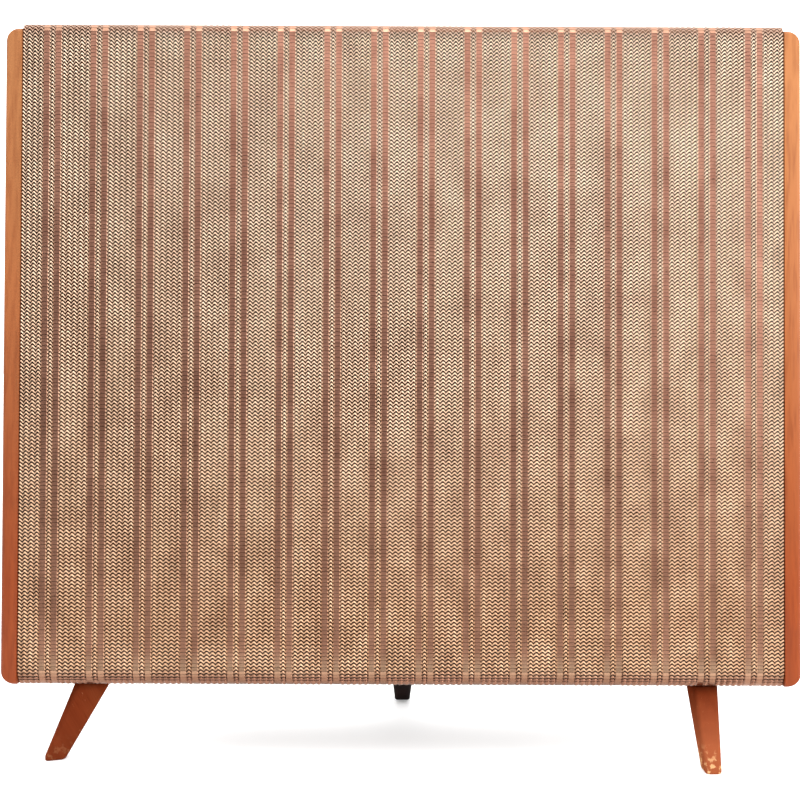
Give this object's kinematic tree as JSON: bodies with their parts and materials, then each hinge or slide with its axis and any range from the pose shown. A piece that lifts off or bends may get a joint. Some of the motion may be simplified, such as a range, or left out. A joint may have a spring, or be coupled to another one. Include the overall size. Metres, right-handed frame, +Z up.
{
  "type": "electrostatic loudspeaker",
  "caption": "Wide flat full-range electrostatic loudspeaker with a formed bronze grille, thin wooden cheeks, splayed swivelling legs and a rear electronics box.",
  "frame": {"origin": "on the floor under the middle of the object's bounding box", "axes": "+X along the width, to the right when seen from the front; +Y to the rear; +Z up. The grille faces -Y."},
  "size_m": [0.876, 0.2695, 0.8155],
  "materials": {
    "black_board": "resin-bonded paper",
    "black_plastic": "moulded",
    "blackened_steel": "chemically blackened",
    "brass": "polished",
    "brown_board": "resin-bonded paper",
    "cheek_wood": "satin varnish",
    "clip_aluminium": "mill finish",
    "component": "moulded",
    "cream_plastic": "moulded",
    "ebonised_wood": "black stain",
    "felt": "felt",
    "film": "stretched film",
    "frame_wood": "bare softwood",
    "fuse_glass": "clear",
    "grille_bronze": "bronze lacquer, satin",
    "lamination": "varnished laminations",
    "lead_rubber": "insulated lead",
    "leg_wood": "satin varnish, worn at the feet",
    "potting": "wax and pitch",
    "rear_enamel": "semi-matt enamel",
    "red_plastic": "moulded",
    "spacer_board": "resin-bonded board",
    "stator_black": "coated board",
    "stator_grey": "coated board",
    "steel": "zinc plated",
    "winding": "enamelled wire"
  },
  "bodies": {
    "cabinet": {"left_cheek": "cheek_wood", "right_cheek": "cheek_wood", "top_rail": "frame_wood", "bottom_rail": "frame_wood", "left_stile": "frame_wood", "right_stile": "frame_wood", "left_mullion": "frame_wood", "right_mullion": "frame_wood", "corner_blocks": "frame_wood", "cheek_screws": "steel", "front_grille": "grille_bronze", "rear_grille": "rear_enamel", "grille_clamp_strips": "grille_bronze", "grille_screws": "steel", "bass_left_front_stator": "stator_black", "bass_left_spacer": "spacer_board", "bass_left_diaphragm": "film", "bass_left_rear_stator": "stator_black", "treble_front_stator": "stator_grey", "treble_spacer": "spacer_board", "treble_diaphragm": "film", "treble_rear_stator": "stator_grey", "bass_right_front_stator": "stator_black", "bass_right_spacer": "spacer_board", "bass_right_diaphragm": "film", "bass_right_rear_stator": "stator_black", "front_dust_covers": "film", "rear_dust_covers": "film", "treble_felt": "felt", "panel_clips": "clip_aluminium", "leg_bushes": "blackened_steel", "electronics_tray": "rear_enamel", "electronics_cover": "rear_enamel", "cover_screws": "steel", "chassis_brace": "steel", "audio_transformer_core": "lamination", "audio_transformer_windings": "winding", "mains_transformer_core": "lamination", "mains_transformer_windings": "winding", "multiplier_block": "potting", "network_board": "brown_board", "network_parts": "component", "hv_leads": "lead_rubber", "terminal_plate": "black_board", "terminal_posts": "brass", "mains_inlet": "black_plastic", "mains_pins": "brass", "selector_body": "black_plastic", "fuse_holder": "black_plastic", "fuse": "fuse_glass"},
    "left_leg": {"left_leg": "leg_wood", "left_leg_stud": "steel"},
    "right_leg": {"right_leg": "leg_wood", "right_leg_stud": "steel"},
    "rear_leg": {"rear_leg": "ebonised_wood", "rear_leg_stud": "steel"},
    "red_nut": {"red_terminal_nut": "red_plastic"},
    "black_nut": {"black_terminal_nut": "black_plastic"},
    "selector": {"selector_dial": "cream_plastic"},
    "fuse_cap": {"fuse_cap": "black_plastic"}
  },
  "joints": [
    {"name": "left_leg_swivel", "type": "hinge", "parent": "cabinet", "child": "left_leg", "pos_m": [-0.345, -0.08182, 0.0865], "axis": [0, 0, 1], "range_deg": [-16.5, 73.5]},
    {"name": "right_leg_swivel", "type": "hinge", "parent": "cabinet", "child": "right_leg", "pos_m": [0.338, -0.08182, 0.0865], "axis": [0, 0, 1], "range_deg": [-3, 87]},
    {"name": "rear_leg_swivel", "type": "hinge", "parent": "cabinet", "child": "rear_leg", "pos_m": [0.0025, 0.03668, 0.0865], "axis": [0, 0, 1], "range_deg": [-45, 45]},
    {"name": "red_nut_turn", "type": "hinge", "parent": "cabinet", "child": "red_nut", "pos_m": [-0.062, 0.06538, 0.14], "axis": [0, 1, 0], "range_deg": [-720, 0]},
    {"name": "black_nut_turn", "type": "hinge", "parent": "cabinet", "child": "black_nut", "pos_m": [-0.038, 0.06538, 0.14], "axis": [0, 1, 0], "range_deg": [-720, 0]},
    {"name": "selector_turn", "type": "hinge", "parent": "cabinet", "child": "selector", "pos_m": [-0.05, 0.06538, 0.113], "axis": [0, 1, 0], "range_deg": [0, 135]},
    {"name": "fuse_cap_turn", "type": "hinge", "parent": "cabinet", "child": "fuse_cap", "pos_m": [0.052, 0.06438, 0.107], "axis": [0, 1, 0], "range_deg": [-90, 0]}
  ]
}
